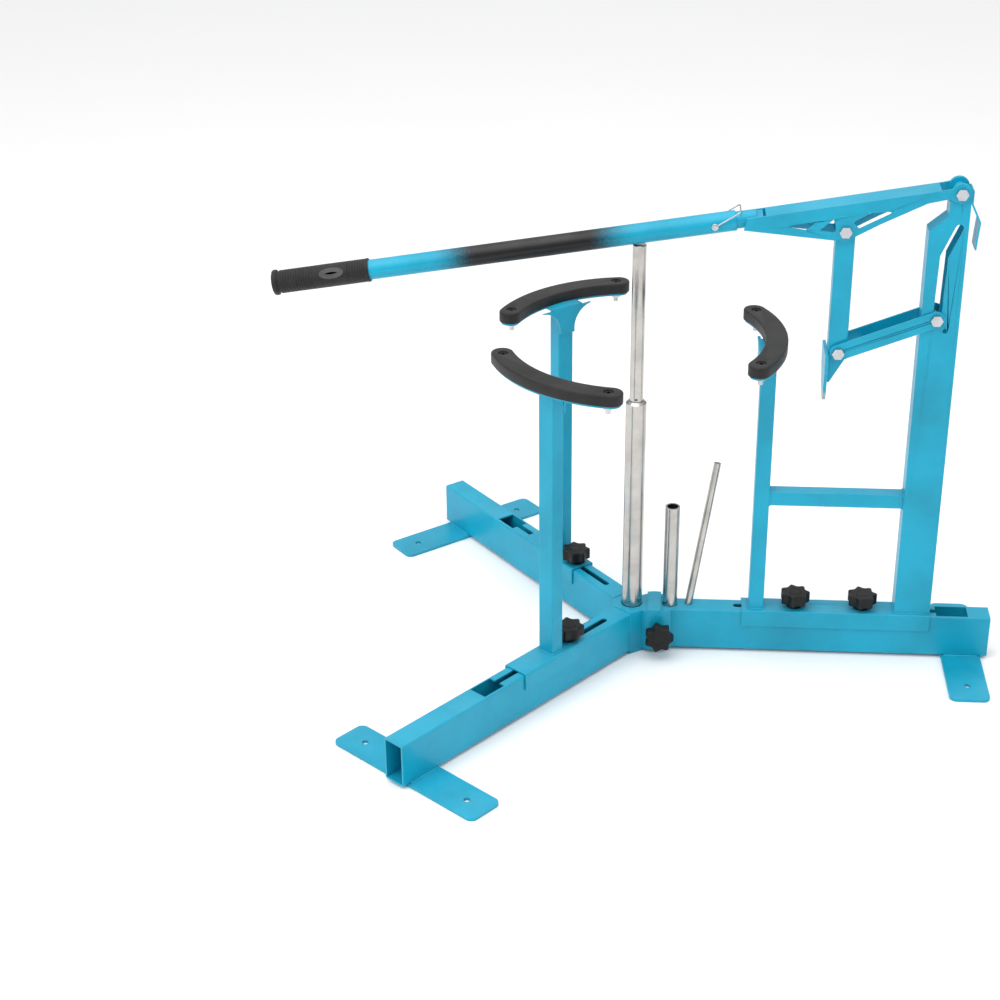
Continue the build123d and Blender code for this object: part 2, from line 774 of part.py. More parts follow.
hook_top = (column_back + hook_thickness / 2, pivot_height + 3)
hook_bends = ((0, -20), (14.5, -50), (12.5, -75), (11.5, -93))
hook_line = (hook_top, *[beside(hook_top, bend) for bend in hook_bends])
with BuildPart() as rear_hook:
    with BuildSketch(side):
        with BuildLine():
            hook = FilletPolyline(*hook_line, radius=hook_bend)
            offset(hook, amount=hook_thickness / 2, side=Side.BOTH)
        make_face()
    extrude(amount=column_half, both=True)
save(rear_hook.part, "rear_hook")


def through_bolt(spot, half_grip, washers=()):
    """Hexagon bolt and nut across the side plane, with washers as (inner, outer) distances."""
    with BuildPart() as bolt:
        cross_rod(spot, half_grip + washer_gap, bolt_radius, Mode.ADD)
        with BuildSketch(side.offset(half_grip + washer_gap)):
            with Locations(spot):
                RegularPolygon(bolt_flats / 2, 6, major_radius=False)
        extrude(amount=bolt_head)
        with BuildSketch(side.offset(-half_grip - washer_gap)):
            with Locations(spot):
                Circle(bolt_radius)
        extrude(amount=-nut_height - bolt_tail)
    with BuildPart() as nut:
        with BuildSketch(side.offset(-half_grip - washer_gap)):
            with Locations(spot):
                RegularPolygon(bolt_flats / 2, 6, major_radius=False)
                Circle(bolt_radius, mode=Mode.SUBTRACT)
        extrude(amount=-nut_height)
    pieces = [*bolt.part.solids(), *nut.part.solids()]
    for inner, outer in washers:
        with BuildPart() as washer:
            with BuildSketch(side.offset(inner)):
                with Locations(spot):
                    Circle(washer_radius)
                    Circle(bolt_radius + bolt_clearance, mode=Mode.SUBTRACT)
            extrude(amount=outer - inner)
        pieces.extend(washer.part.solids())
    return Compound(children=pieces)


pusher_half = pusher_size / 2
link_washers = ((pusher_half + washer_gap, lever_inner - washer_gap),
                (washer_gap - lever_inner, -pusher_half - washer_gap))
save(through_bolt(pivot, lever_outer), "pivot_bolt")
save(through_bolt(link_top, lever_outer, link_washers), "link_top_bolt")
save(through_bolt(link_bottom, lever_outer, link_washers), "link_bottom_bolt")
save(through_bolt(guide_pin, lever_outer), "slot_bolt")


# ---- lever and handle ----

# the side plates' corners and windows, drawn from the pivot
plate_corners = ((-327, -64), (-186, -78), (-159, -73), (-120, -51), (-50, -16), (-19, -9), (0, -15),
                 (8, 12.5), (-27, 5), (-322, -45))
plate_windows = (((-268, -56), (-216, -48), (-232, -62)), ((-212, -62), (-189, -43), (-185, -65)),
                 ((-160, -48), (-136, -33), (-96, -29), (-151, -58)))
lever_outline = [beside(pivot, corner) for corner in plate_corners]
lever_windows = [[beside(pivot, corner) for corner in window] for window in plate_windows]
top_start, top_end = lever_outline[-1], lever_outline[-2]
top_slope = (top_end[1] - top_start[1]) / (top_end[0] - top_start[0])


def lever_top(x):
    return top_start[1] + (x - top_start[0]) * top_slope


web_start = pivot[0] + web_from_pivot[0]
web_end = pivot[0] + web_from_pivot[1]
web_drop = link_wall * hypot(1, top_slope)
with BuildPart() as lever_channel:
    with BuildSketch(side):
        outline(lever_outline)
        with Locations(link_top):
            Circle(lug_radius)
        with Locations(pivot):
            Circle(lobe_at_pivot)
    extrude(amount=lever_outer, both=True)
    with BuildSketch(side):
        for window in lever_windows:
            with BuildSketch(Plane.XY, mode=Mode.PRIVATE) as hole:
                outline(window, corner=2)
            add(hole.sketch)
    extrude(amount=lever_outer, both=True, mode=Mode.SUBTRACT)
    with BuildSketch(side):
        with Locations(pivot):
            Rectangle(3 * pivot[0], pivot[1])
    extrude(amount=lever_inner, both=True, mode=Mode.SUBTRACT)
    with BuildSketch(side):
        outline(((web_start, lever_top(web_start) - web_drop), (web_end, lever_top(web_end) - web_drop),
                 (web_end, lever_top(web_end)), (web_start, lever_top(web_start))))
    extrude(amount=lever_inner, both=True)
    cross_rod(link_top, lever_outer, bolt_radius + bolt_clearance)
    cross_rod(pivot, lever_outer, bolt_radius + bolt_clearance)
save(lever_channel.part, "lever_channel")

axis_run = Vector(-cos(radians(lever_slope)), 0, -sin(radians(lever_slope)))
pivot_point = Vector(pivot[0] + legs_cross_x, 0, pivot[1])


def on_lever(reach):
    """Point of the handle's centre line, at a distance from the pivot."""
    return pivot_point + axis_run * reach


def lever_plane(reach):
    return Plane(origin=on_lever(reach), x_dir=(0, 1, 0), z_dir=axis_run)


lock_point = on_lever(lock_at)
lock_spot = (lock_point.X - legs_cross_x, lock_point.Z)

with BuildPart() as lever_stub:
    with BuildSketch(side):
        outline([beside(pivot, corner) for corner in ((-324, -62), (-298, -64.5), (-298, -42), (-324, -46.5))])
    extrude(amount=lever_inner, both=True)
    with BuildSketch(lever_plane(stub_root)):
        Circle(stub_radius)
    extrude(amount=stub_end - stub_root)
    with BuildSketch(lever_plane(stub_end)):
        Circle(stub_bore)
    extrude(amount=handle_start - stub_end, mode=Mode.SUBTRACT)
    cross_rod(lock_spot, handle_radius, lock_radius + lock_clearance)
save(lever_stub.part, "lever_stub")

with BuildPart() as handle_tube:
    with BuildSketch(lever_plane(handle_start)):
        Circle(handle_radius)
        Circle(handle_bore, mode=Mode.SUBTRACT)
    extrude(amount=handle_end - handle_start)
    cross_rod(lock_spot, handle_radius + 1, lock_radius + lock_clearance)
save(handle_tube.part, "handle_tube")

with BuildPart() as handle_grip:
    with BuildSketch(lever_plane(grip_start)):
        Circle(grip_radius)
    extrude(amount=grip_end - grip_start)
    with BuildSketch(lever_plane(grip_end)):
        Circle(grip_flange_radius)
    extrude(amount=-grip_flange_length)
    with BuildSketch(lever_plane(grip_start)):
        Circle(handle_radius)
    extrude(amount=handle_end - grip_start, mode=Mode.SUBTRACT)
save(handle_grip.part, "handle_grip")

with BuildPart() as lock_pin:
    cross_rod(lock_spot, lock_half_length - lock_head_length, lock_radius, Mode.ADD)
    for end in (lock_half_length, lock_head_length - lock_half_length):
        with BuildSketch(side.offset(end)):
            with Locations(lock_spot):
                Circle(lock_head_radius)
        extrude(amount=-lock_head_length)
save(lock_pin.part, "lock_pin")

rise_run = Vector(-axis_run.Z, 0, axis_run.X) * -1
bail_end = lock_point - axis_run * bail_back + rise_run * bail_rise
bail_sides = (-bail_half_width, bail_half_width)
with BuildPart() as lock_pin_bail:
    for y in bail_sides:
        with BuildSketch(side.offset(-y)):
            with Locations(lock_spot):
                Circle(bail_eye_radius)
        extrude(amount=bail_eye_half, both=True)
        rod_between(lock_point + Vector(0, y, 0), bail_end + Vector(0, y, 0), bail_wire)
    with BuildSketch(Plane(origin=bail_end, z_dir=(0, 1, 0))):
        Circle(bail_bar_radius)
    extrude(amount=bail_half_width + bail_bar_radius, both=True)
    cross_rod(lock_spot, lock_half_length, lock_radius + lock_clearance)
save(lock_pin_bail.part, "lock_pin_bail")


# ---- pusher, shoe and guide link ----

with BuildPart() as pusher_link:
    with BuildSketch(level(right_frame, along=pusher_centre, up=pusher_bottom)):
        RectangleRounded(pusher_size, pusher_size, 2)
        RectangleRounded(pusher_size - 2 * pusher_wall, pusher_size - 2 * pusher_wall, 1, mode=Mode.SUBTRACT)
    extrude(amount=pusher_top - pusher_bottom)
    cross_rod(link_top, pusher_size, bolt_radius + bolt_clearance)
    cross_rod(link_bottom, pusher_size, bolt_radius + bolt_clearance)
save(pusher_link.part, "pusher_link")

blade_back = pusher_centre - pusher_half
blade_front = blade_back - blade_thickness
blade_top = pusher_bottom + blade_lap
blade_bend = pusher_bottom - blade_bend_below
blade_foot = blade_tip_height - blade_foot_margin
blade_room = blade_thickness + 2 * blade_lean
tip_half = blade_tip_width / 2
with BuildPart() as shoe:
    with BuildSketch(side):
        outline(((blade_back, blade_bend), (blade_back + blade_lean, blade_foot),
                 (blade_front + blade_lean, blade_foot), (blade_front, blade_bend),
                 (blade_front, pusher_top), (blade_back, pusher_top)))
    extrude(amount=blade_width, both=True)
    with BuildSketch(section(right_frame, blade_front - blade_room)):
        with BuildLine():
            tip = ThreePointArc((-tip_half, blade_tip_height + blade_tip_curve), (0, blade_tip_height),
                                (tip_half, blade_tip_height + blade_tip_curve))
            Polyline(tip @ 1, (blade_width / 2, pusher_bottom - blade_shoulder), (blade_width / 2, blade_top),
                     (-blade_width / 2, blade_top), (-blade_width / 2, pusher_bottom - blade_shoulder), tip @ 0)
        make_face()
    extrude(amount=blade_thickness + 2 * blade_room, mode=Mode.INTERSECT)
    for rib_side in (1, -1):
        with BuildSketch(side.offset(rib_side * (pusher_half - rib_thickness / 2))):
            outline(((blade_back - 2, pusher_bottom), (blade_back + 27, pusher_bottom),
                     (blade_back + 5, pusher_bottom - 40), (blade_back - 3, pusher_bottom - 40)))
        extrude(amount=rib_thickness / 2, both=True)
save(shoe.part, "shoe")

guide_run = (guide_pin[0] - link_bottom[0], guide_pin[1] - link_bottom[1])
guide_length = hypot(*guide_run)
guide_angle = degrees(atan2(guide_run[1], guide_run[0]))
guide_plane = Plane(origin=(link_bottom[0] + legs_cross_x, 0, link_bottom[1]),
                    x_dir=(guide_run[0], 0, guide_run[1]), z_dir=(0, -1, 0))
with BuildPart() as guide_link:
    with BuildSketch(guide_plane):
        with Locations((guide_length / 2, 0)):
            SlotCenterToCenter(guide_length, guide_depth)
    extrude(amount=lever_outer, both=True)
    with BuildSketch(guide_plane):
        with Locations((guide_length / 2, 0)):
            Rectangle(2 * guide_length, 2 * guide_depth)
    extrude(amount=lever_inner, both=True, mode=Mode.SUBTRACT)
    with BuildSketch(guide_plane):
        with Locations((guide_web_from_pusher, -guide_depth / 2)):
            Rectangle(guide_length - guide_web_from_pusher - guide_web_from_tower, link_wall,
                      align=(Align.MIN, Align.MIN))
    extrude(amount=lever_inner, both=True)
    cross_rod(link_bottom, lever_outer, bolt_radius + bolt_clearance)
    cross_rod(guide_pin, lever_outer, bolt_radius + bolt_clearance)
save(guide_link.part, "guide_link")
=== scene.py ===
import json
from math import atan2, cos, pi, radians, sin

import bmesh
import bpy
from mathutils import Matrix, Vector


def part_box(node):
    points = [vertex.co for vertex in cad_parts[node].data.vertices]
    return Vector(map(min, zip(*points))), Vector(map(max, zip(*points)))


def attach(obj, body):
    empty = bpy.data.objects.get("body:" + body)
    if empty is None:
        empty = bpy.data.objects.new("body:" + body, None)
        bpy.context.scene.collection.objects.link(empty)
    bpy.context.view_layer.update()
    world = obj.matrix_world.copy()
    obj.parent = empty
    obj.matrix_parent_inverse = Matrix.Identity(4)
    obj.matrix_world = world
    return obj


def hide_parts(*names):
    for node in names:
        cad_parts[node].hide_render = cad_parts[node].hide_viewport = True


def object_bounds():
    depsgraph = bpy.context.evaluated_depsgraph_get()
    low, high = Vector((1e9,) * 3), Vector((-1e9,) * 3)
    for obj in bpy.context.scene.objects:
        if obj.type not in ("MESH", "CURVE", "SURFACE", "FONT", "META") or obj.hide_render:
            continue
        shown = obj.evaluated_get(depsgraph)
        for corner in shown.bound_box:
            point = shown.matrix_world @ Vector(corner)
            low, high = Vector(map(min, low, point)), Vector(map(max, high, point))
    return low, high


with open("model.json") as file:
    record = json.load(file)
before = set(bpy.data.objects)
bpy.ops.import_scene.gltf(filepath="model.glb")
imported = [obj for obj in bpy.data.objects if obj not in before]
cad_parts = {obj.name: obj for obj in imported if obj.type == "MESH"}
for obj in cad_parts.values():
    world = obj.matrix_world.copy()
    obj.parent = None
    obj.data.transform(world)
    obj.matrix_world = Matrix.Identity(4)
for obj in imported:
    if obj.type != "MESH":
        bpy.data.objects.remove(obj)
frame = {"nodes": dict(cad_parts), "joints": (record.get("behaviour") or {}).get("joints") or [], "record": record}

nodes = frame["nodes"]
record = frame["record"]
joints = {joint["name"]: joint for joint in frame["joints"]}
startLow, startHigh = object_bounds()
scene = bpy.context.scene
mm = 0.001


def jointSpot(name):
    return Vector(joints[name]["pos_m"])


def jointAxis(name):
    return Vector(joints[name]["axis"]).normalized()


# The view looks a little from the left and from above, as if from standing height.
viewTurn = radians(-4.73)
viewDrop = radians(27.58)
viewRoll = radians(-0.71)
viewSpot = Vector((0.0210, -2.9717, 1.8291))
forward = Vector((sin(viewTurn) * cos(viewDrop), cos(viewTurn) * cos(viewDrop), -sin(viewDrop)))
level = Vector((cos(viewTurn), -sin(viewTurn), 0))
upward = level.cross(forward)
rightward = level * cos(viewRoll) + upward * sin(viewRoll)
upward = upward * cos(viewRoll) - level * sin(viewRoll)

cameraData = bpy.data.cameras.new("Camera")
cameraData.lens = 72.0
cameraData.sensor_width = 36.0
cameraData.clip_start = 0.05
cameraData.clip_end = 50
camera = bpy.data.objects.new("Camera", cameraData)
scene.collection.objects.link(camera)
columns = (rightward, upward, -forward)
camera.matrix_world = Matrix.Translation(viewSpot) @ Matrix(columns).transposed().to_4x4()
scene.camera = camera
print("camera placed")


def newGroup(name, inputs, outputs):
    group = bpy.data.node_groups.new(name, "ShaderNodeTree")
    for label, kind in inputs:
        group.interface.new_socket(label, in_out="INPUT", socket_type=kind)
    for label, kind in outputs:
        group.interface.new_socket(label, in_out="OUTPUT", socket_type=kind)
    start = group.nodes.new("NodeGroupInput")
    end = group.nodes.new("NodeGroupOutput")
    return group, start, end


def mathNode(tree, operation, first, second, clamp=False):
    node = tree.nodes.new("ShaderNodeMath")
    node.operation = operation
    node.use_clamp = clamp
    for socket, value in zip(node.inputs, (first, second)):
        if isinstance(value, (int, float)):
            socket.default_value = value
        else:
            tree.links.new(value, socket)
    return node.outputs[0]


def noiseNode(tree, vector, scale, detail=2.0, rough=0.5):
    node = tree.nodes.new("ShaderNodeTexNoise")
    if isinstance(scale, (int, float)):
        node.inputs["Scale"].default_value = scale
    else:
        tree.links.new(scale, node.inputs["Scale"])
    node.inputs["Detail"].default_value = detail
    node.inputs["Roughness"].default_value = rough
    tree.links.new(vector, node.inputs["Vector"])
    return node.outputs["Fac"]


def rampNode(tree, value, low, high):
    node = tree.nodes.new("ShaderNodeMapRange")
    node.interpolation_type = "SMOOTHSTEP"
    node.inputs["From Min"].default_value = low
    node.inputs["From Max"].default_value = high
    tree.links.new(value, node.inputs["Value"])
    return node.outputs["Result"]


# fine surface grain over a slower waviness, as a height
def makeGrain():
    group, start, end = newGroup(
        "surfaceGrain",
        (("Vector", "NodeSocketVector"), ("Scale", "NodeSocketFloat"), ("Waviness", "NodeSocketFloat")),
        (("Height", "NodeSocketFloat"),))
    fine = noiseNode(group, start.outputs["Vector"], start.outputs["Scale"], 3.0, 0.6)
    slowScale = mathNode(group, "MULTIPLY", start.outputs["Scale"], 0.12)
    slow = noiseNode(group, start.outputs["Vector"], slowScale, 1.0)
    wave = mathNode(group, "MULTIPLY", slow, start.outputs["Waviness"])
    group.links.new(mathNode(group, "ADD", fine, wave), end.inputs["Height"])
    return group


# worn convex edges: the surface normal is set against one rounded over the edge
def makeEdgeWear():
    group, start, end = newGroup(
        "edgeWear",
        (("Vector", "NodeSocketVector"), ("Scale", "NodeSocketFloat"), ("Radius", "NodeSocketFloat")),
        (("Mask", "NodeSocketFloat"),))
    rounded = group.nodes.new("ShaderNodeBevel")
    rounded.samples = 4
    group.links.new(start.outputs["Radius"], rounded.inputs["Radius"])
    geometry = group.nodes.new("ShaderNodeNewGeometry")
    match = group.nodes.new("ShaderNodeVectorMath")
    match.operation = "DOT_PRODUCT"
    group.links.new(rounded.outputs["Normal"], match.inputs[0])
    group.links.new(geometry.outputs["Normal"], match.inputs[1])
    edge = rampNode(group, match.outputs["Value"], 0.985, 0.90)
    patches = rampNode(group, noiseNode(group, start.outputs["Vector"], start.outputs["Scale"], 4.0, 0.7),
                       0.47, 0.66)
    group.links.new(mathNode(group, "MULTIPLY", edge, patches), end.inputs["Mask"])
    return group


# thin dust that lies on faces turned up, thicker in patches
def makeDust():
    group, start, end = newGroup(
        "settledDust",
        (("Vector", "NodeSocketVector"), ("Amount", "NodeSocketFloat")),
        (("Mask", "NodeSocketFloat"),))
    geometry = group.nodes.new("ShaderNodeNewGeometry")
    split = group.nodes.new("ShaderNodeSeparateXYZ")
    group.links.new(geometry.outputs["Normal"], split.inputs["Vector"])
    facing = rampNode(group, split.outputs["Z"], 0.3, 1.0)
    patches = rampNode(group, noiseNode(group, start.outputs["Vector"], 9.0, 5.0, 0.65), 0.35, 0.75)
    lying = mathNode(group, "MULTIPLY", facing, patches)
    group.links.new(mathNode(group, "MULTIPLY", lying, start.outputs["Amount"]), end.inputs["Mask"])
    return group


# thin scratches in scattered patches
def makeScuffs():
    group, start, end = newGroup(
        "fineScuffs",
        (("Vector", "NodeSocketVector"), ("Scale", "NodeSocketFloat")),
        (("Mask", "NodeSocketFloat"),))
    stretch = group.nodes.new("ShaderNodeMapping")
    stretch.inputs["Scale"].default_value = (1.0, 14.0, 5.0)
    stretch.inputs["Rotation"].default_value = (0.3, 0.2, 0.5)
    group.links.new(start.outputs["Vector"], stretch.inputs["Vector"])
    lines = rampNode(group, noiseNode(group, stretch.outputs["Vector"], start.outputs["Scale"], 2.0), 0.66, 0.70)
    patches = rampNode(group, noiseNode(group, start.outputs["Vector"], 14.0, 3.0), 0.55, 0.75)
    group.links.new(mathNode(group, "MULTIPLY", lines, patches), end.inputs["Mask"])
    return group


groups = {"grain": makeGrain(), "wear": makeEdgeWear(), "dust": makeDust(), "scuffs": makeScuffs()}


def groupNode(tree, name, vector, **values):
    node = tree.nodes.new("ShaderNodeGroup")
    node.node_tree = groups[name]
    tree.links.new(vector, node.inputs["Vector"])
    for label, value in values.items():
        node.inputs[label].default_value = value
    return node.outputs[0]


def mixColour(tree, factor, first, second):
    node = tree.nodes.new("ShaderNodeMix")
    node.data_type = "RGBA"
    if isinstance(factor, (int, float)):
        node.inputs["Factor"].default_value = factor
    else:
        tree.links.new(factor, node.inputs["Factor"])
    for socket, value in ((node.inputs["A"], first), (node.inputs["B"], second)):
        if isinstance(value, tuple):
            socket.default_value = (*value, 1)
        else:
            tree.links.new(value, socket)
    return node.outputs["Result"]


def mixValue(tree, factor, first, second):
    span = mathNode(tree, "MULTIPLY", factor, second - first)
    return mathNode(tree, "ADD", span, first)


def newMaterial(name):
    material = bpy.data.materials.new(name)
    material.use_nodes = True
    tree = material.node_tree
    surface = tree.nodes["Principled BSDF"]
    coordinates = tree.nodes.new("ShaderNodeTexCoord")
    return material, tree, surface, coordinates.outputs["Object"]


def addBump(tree, surface, height, strength, distance):
    bump = tree.nodes.new("ShaderNodeBump")
    bump.inputs["Strength"].default_value = strength
    bump.inputs["Distance"].default_value = distance
    tree.links.new(height, bump.inputs["Height"])
    tree.links.new(bump.outputs["Normal"], surface.inputs["Normal"])


paintSizes = {"blue": (0.003, 0.365, 0.550), "black": (0.006, 0.006, 0.007), "primer": (0.22, 0.27, 0.29),
              "steel": (0.40, 0.40, 0.41), "scuffed": (0.30, 0.42, 0.48), "dusty": (0.50, 0.50, 0.48),
              "roughness": 0.36, "shade": 0.28, "scuffs": 0.10, "worn": 0.45, "wornReach": 0.0014, "dust": 0.07}


# powder coat over a given colour: patches, worn edges, dust, scuffs, orange peel and bare steel under a mask
def finishPaint(tree, surface, vector, colour, bare=None):
    patches = noiseNode(tree, vector, 6.0, 4.0, 0.6)
    shade = mixColour(tree, paintSizes["shade"], colour, paintSizes["black"])
    blended = mixColour(tree, rampNode(tree, patches, 0.3, 0.8), colour, shade)
    scuffs = groupNode(tree, "scuffs", vector, Scale=60.0)
    scuffAmount = mathNode(tree, "MULTIPLY", scuffs, paintSizes["scuffs"])
    scuffed = mixColour(tree, scuffAmount, blended, paintSizes["scuffed"])
    wear = groupNode(tree, "wear", vector, Scale=42.0, Radius=paintSizes["wornReach"])
    worn = mixColour(tree, mathNode(tree, "MULTIPLY", wear, paintSizes["worn"]), scuffed, paintSizes["primer"])
    dust = groupNode(tree, "dust", vector, Amount=paintSizes["dust"])
    coated = mixColour(tree, dust, worn, paintSizes["dusty"])
    uneven = mixValue(tree, patches, paintSizes["roughness"] - 0.06, paintSizes["roughness"] + 0.10)
    rough = mathNode(tree, "ADD", uneven, mathNode(tree, "MULTIPLY", dust, 0.8))
    if bare is not None:
        coated = mixColour(tree, bare, coated, paintSizes["steel"])
        tree.links.new(mathNode(tree, "MULTIPLY", bare, 0.9), surface.inputs["Metallic"])
    tree.links.new(coated, surface.inputs["Base Color"])
    tree.links.new(rough, surface.inputs["Roughness"])
    surface.inputs["Coat Weight"].default_value = 0.12
    surface.inputs["Coat Roughness"].default_value = 0.16
    surface.inputs["Specular IOR Level"].default_value = 0.3
    addBump(tree, surface, groupNode(tree, "grain", vector, Scale=900.0, Waviness=1.6), 0.16, 0.0004)


def heightOf(tree, vector):
    split = tree.nodes.new("ShaderNodeSeparateXYZ")
    tree.links.new(vector, split.inputs["Vector"])
    return split.outputs["Z"]


def bluePaint():
    material, tree, surface, vector = newMaterial("bluePaint")
    finishPaint(tree, surface, vector, paintSizes["blue"])
    return material


shoeWear = {"ragged": 0.022, "painted": 0.034, "bare": 0.022}


# blue paint rubbed down to steel over the foot of the shoe
def shoePaint(foot):
    material, tree, surface, vector = newMaterial("shoePaint")
    ragged = mathNode(tree, "MULTIPLY", noiseNode(tree, vector, 130.0, 4.0, 0.65), shoeWear["ragged"])
    level = mathNode(tree, "ADD", heightOf(tree, vector), ragged)
    bare = rampNode(tree, level, foot + shoeWear["painted"], foot + shoeWear["bare"])
    finishPaint(tree, surface, vector, paintSizes["blue"], bare)
    return material


handleFades = {"near": (0.510, 0.590), "far": (0.840, 0.770), "ragged": 0.030}


# blue paint that fades to black over the middle of the handle and back again
def handlePaint(pivot, alongHandle):
    material, tree, surface, vector = newMaterial("handlePaint")
    reach = tree.nodes.new("ShaderNodeVectorMath")
    reach.operation = "DOT_PRODUCT"
    tree.links.new(vector, reach.inputs[0])
    reach.inputs[1].default_value = alongHandle
    distance = mathNode(tree, "SUBTRACT", reach.outputs["Value"], pivot.dot(alongHandle))
    speckle = noiseNode(tree, vector, 300.0, 3.0, 0.6)
    shifted = mathNode(tree, "ADD", distance, mathNode(tree, "MULTIPLY", speckle, handleFades["ragged"]))
    nearFade = rampNode(tree, shifted, *handleFades["near"])
    farFade = rampNode(tree, shifted, *handleFades["far"])
    black = mathNode(tree, "MULTIPLY", nearFade, farFade, clamp=True)
    finishPaint(tree, surface, vector, mixColour(tree, black, paintSizes["blue"], paintSizes["black"]))
    return material


# plated steel with fine turning marks across it and cloudy patches, with painted shade (near black) above a height
# if one is given
def brightPlate(name, colour, roughness, turning, paintedShadeAbove=None):
    material, tree, surface, vector = newMaterial(name)
    clouds = noiseNode(tree, vector, 22.0, 5.0, 0.65)
    tone = mixColour(tree, rampNode(tree, clouds, 0.3, 0.75), colour, tuple(0.74 * part for part in colour))
    if paintedShadeAbove:
        # painted shade: above the given height, where the screws sit sunk in the pad holes, the colour turns near
        # black
        sunk = rampNode(tree, heightOf(tree, vector), paintedShadeAbove - 0.001, paintedShadeAbove)
        tone = mixColour(tree, sunk, tone, (0.03, 0.03, 0.03))
    scuffs = groupNode(tree, "scuffs", vector, Scale=90.0)
    tree.links.new(mixColour(tree, mathNode(tree, "MULTIPLY", scuffs, 0.25), tone, (0.75, 0.75, 0.75)),
                   surface.inputs["Base Color"])
    surface.inputs["Metallic"].default_value = 1.0
    tree.links.new(mixValue(tree, clouds, roughness, roughness + 0.12), surface.inputs["Roughness"])
    rings = tree.nodes.new("ShaderNodeTexWave")
    rings.wave_type = "BANDS"
    rings.bands_direction = "Z"
    rings.inputs["Scale"].default_value = 700.0
    rings.inputs["Distortion"].default_value = 1.5
    tree.links.new(vector, rings.inputs["Vector"])
    height = mathNode(tree, "ADD", mathNode(tree, "MULTIPLY", rings.outputs["Fac"], turning),
                      groupNode(tree, "grain", vector, Scale=600.0, Waviness=0.5))
    addBump(tree, surface, height, 0.10, 0.0002)
    return material


# moulded black plastic or rubber with fine grain, rubbed edges and a little dust
def darkMoulding(name, colour, roughness, grain, sheen):
    material, tree, surface, vector = newMaterial(name)
    patches = noiseNode(tree, vector, 30.0, 4.0, 0.6)
    tone = mixColour(tree, rampNode(tree, patches, 0.35, 0.75), colour, tuple(1.7 * part for part in colour))
    wear = groupNode(tree, "wear", vector, Scale=90.0, Radius=0.0010)
    rubbed = mixColour(tree, mathNode(tree, "MULTIPLY", wear, 0.35), tone, (0.07, 0.07, 0.07))
    dust = groupNode(tree, "dust", vector, Amount=0.05)
    tree.links.new(mixColour(tree, dust, rubbed, (0.22, 0.21, 0.20)), surface.inputs["Base Color"])
    tree.links.new(mixValue(tree, patches, roughness - 0.05, roughness + 0.12), surface.inputs["Roughness"])
    surface.inputs["Specular IOR Level"].default_value = 0.25
    surface.inputs["Sheen Weight"].default_value = sheen
    surface.inputs["Sheen Roughness"].default_value = 0.5
    addBump(tree, surface, groupNode(tree, "grain", vector, Scale=grain, Waviness=0.8), 0.35, 0.0003)
    return material


pivot = jointSpot("lever_hinge")
lockSpot = jointSpot("lock_bail_hinge")
alongHandle = (lockSpot - pivot).normalized()
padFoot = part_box("right_pad")[0].z

materials = {
    "blue_paint": bluePaint(),
    "chrome": brightPlate("chromePlate", (0.56, 0.53, 0.50), 0.15, 0.5),
    "zinc": brightPlate("zincPlate", (0.62, 0.63, 0.66), 0.28, 0.2),
    "black_plastic": darkMoulding("knobPlastic", (0.006, 0.006, 0.006), 0.40, 1400.0, 0.0),
    "black_rubber": darkMoulding("padRubber", (0.013, 0.0125, 0.0125), 0.52, 1800.0, 0.08),
}
# the pad screws get painted shade above the pad's foot, inside the pad holes
screwSteelWithPaintedShade = brightPlate("screwSteelPaintedShade", (0.62, 0.63, 0.66), 0.28, 0.2, paintedShadeAbove=padFoot)
ownMaterials = {
    "handle_tube": handlePaint(pivot, alongHandle),
    "shoe": shoePaint(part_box("shoe")[0].z),
    "front_pad_screws": screwSteelWithPaintedShade,
    "back_pad_screws": screwSteelWithPaintedShade,
    "right_pad_screws": screwSteelWithPaintedShade,
}
nodeSlots = {part["node"]: part["material_slot"] for part in record["subparts"]}


def paint(piece, material):
    piece.data.materials.clear()
    piece.data.materials.append(material)


for name, node in nodes.items():
    paint(node, ownMaterials.get(name, materials[nodeSlots[name]]))
print("materials made")


# joins a node's triangles, rounds its sharp edges and evens its shading
def softenEdges(name, width):
    node = nodes[name]
    weld = node.modifiers.new("weld", "WELD")
    weld.merge_threshold = 0.00002
    bevel = node.modifiers.new("soften", "BEVEL")
    bevel.width = width
    bevel.segments = 2
    bevel.limit_method = "ANGLE"
    bevel.angle_limit = radians(32)
    even = node.modifiers.new("even", "WEIGHTED_NORMAL")
    even.keep_sharp = True


plateWidths = {
    0.0008: ("right_foot_plate", "front_foot_plate", "back_foot_plate", "front_pad_bracket", "back_pad_bracket",
             "right_pad_bracket", "rear_hook", "shoe"),
    0.0005: ("tower_column", "lever_channel", "guide_link", "front_saddle", "back_saddle", "tower_saddle"),
    0.0006: ("pivot_bolt", "link_top_bolt", "link_bottom_bolt", "slot_bolt"),
}
for width, names in plateWidths.items():
    for name in names:
        softenEdges(name, width)
print("edges softened")


# frame with its Z along an axis and its X near a hint
def placed(spot, axis, xHint=Vector((1, 0, 0))):
    zAxis = axis.normalized()
    xAxis = (xHint - zAxis * xHint.dot(zAxis)).normalized()
    yAxis = zAxis.cross(xAxis)
    return Matrix.Translation(spot) @ Matrix((xAxis, yAxis, zAxis)).transposed().to_4x4()


# finishes a mesh as a piece that rides on a body
def addPiece(mesh, name, body, slot, material=None, replaced=(), sharp=34):
    bmesh.ops.remove_doubles(mesh, verts=mesh.verts, dist=1e-6)
    bmesh.ops.recalc_face_normals(mesh, faces=mesh.faces)
    data = bpy.data.meshes.new(name)
    mesh.to_mesh(data)
    mesh.free()
    data.shade_smooth()
    data.set_sharp_from_angle(angle=radians(sharp))
    piece = bpy.data.objects.new(name, data)
    scene.collection.objects.link(piece)
    data.materials.append(material or materials[slot])
    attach(piece, body)
    if replaced:
        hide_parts(*replaced)
    return piece


